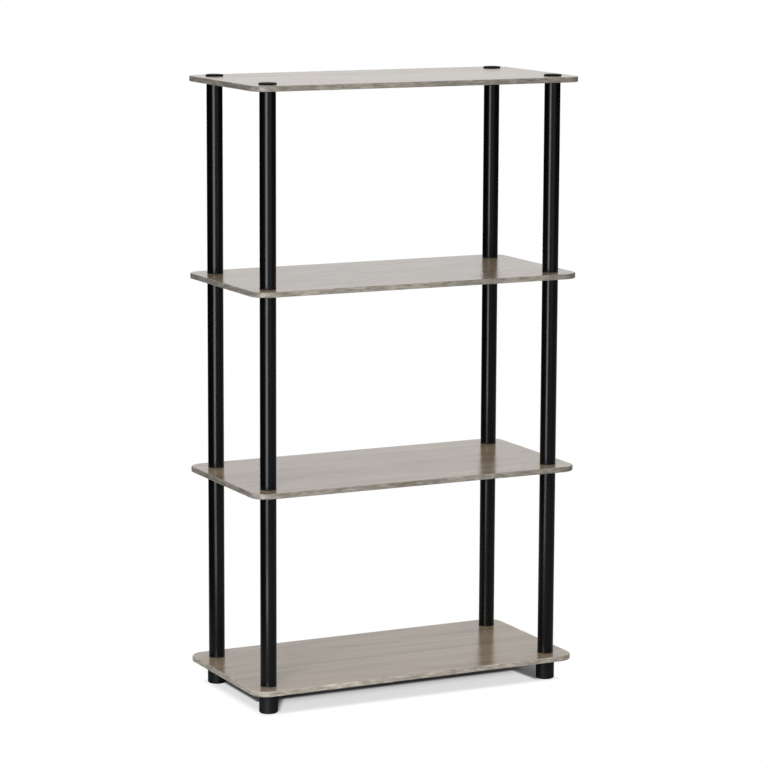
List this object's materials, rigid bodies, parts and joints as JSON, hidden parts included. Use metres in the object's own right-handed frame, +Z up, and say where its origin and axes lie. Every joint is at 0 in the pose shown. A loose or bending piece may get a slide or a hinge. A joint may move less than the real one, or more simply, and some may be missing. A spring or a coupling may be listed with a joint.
{
  "type": "shelving unit",
  "caption": "Free-standing open rack: thin laminated shelves with rounded corners, carried on round black tubes that screw together through them, on round feet.",
  "frame": {"origin": "on the floor, under the middle of the shelves", "axes": "+X along the shelves' width to the right, +Y to the back, +Z up"},
  "size_m": [0.6, 0.295, 1.0421],
  "materials": {
    "board_laminate": "satin greyed oak laminate",
    "edge_band": "satin wood-print strip",
    "tube_plastic": "smooth satin black",
    "fitting_plastic": "fine moulded black"
  },
  "bodies": {
    "root": {"shelf_board_bottom": "board_laminate", "edge_band_bottom": "edge_band", "shelf_board_lower": "board_laminate", "edge_band_lower": "edge_band", "shelf_board_upper": "board_laminate", "edge_band_upper": "edge_band", "shelf_board_top": "board_laminate", "edge_band_top": "edge_band", "foot_front_left": "fitting_plastic", "stud_plug_lower_front_left": "fitting_plastic", "post_tube_lower_front_left": "tube_plastic", "socket_plug_lower_front_left": "fitting_plastic", "stud_plug_middle_front_left": "fitting_plastic", "post_tube_middle_front_left": "tube_plastic", "socket_plug_middle_front_left": "fitting_plastic", "stud_plug_upper_front_left": "fitting_plastic", "post_tube_upper_front_left": "tube_plastic", "socket_plug_upper_front_left": "fitting_plastic", "post_cap_front_left": "fitting_plastic", "foot_front_right": "fitting_plastic", "stud_plug_lower_front_right": "fitting_plastic", "post_tube_lower_front_right": "tube_plastic", "socket_plug_lower_front_right": "fitting_plastic", "stud_plug_middle_front_right": "fitting_plastic", "post_tube_middle_front_right": "tube_plastic", "socket_plug_middle_front_right": "fitting_plastic", "stud_plug_upper_front_right": "fitting_plastic", "post_tube_upper_front_right": "tube_plastic", "socket_plug_upper_front_right": "fitting_plastic", "post_cap_front_right": "fitting_plastic", "foot_back_left": "fitting_plastic", "stud_plug_lower_back_left": "fitting_plastic", "post_tube_lower_back_left": "tube_plastic", "socket_plug_lower_back_left": "fitting_plastic", "stud_plug_middle_back_left": "fitting_plastic", "post_tube_middle_back_left": "tube_plastic", "socket_plug_middle_back_left": "fitting_plastic", "stud_plug_upper_back_left": "fitting_plastic", "post_tube_upper_back_left": "tube_plastic", "socket_plug_upper_back_left": "fitting_plastic", "post_cap_back_left": "fitting_plastic", "foot_back_right": "fitting_plastic", "stud_plug_lower_back_right": "fitting_plastic", "post_tube_lower_back_right": "tube_plastic", "socket_plug_lower_back_right": "fitting_plastic", "stud_plug_middle_back_right": "fitting_plastic", "post_tube_middle_back_right": "tube_plastic", "socket_plug_middle_back_right": "fitting_plastic", "stud_plug_upper_back_right": "fitting_plastic", "post_tube_upper_back_right": "tube_plastic", "socket_plug_upper_back_right": "fitting_plastic", "post_cap_back_right": "fitting_plastic"}
  },
  "joints": []
}
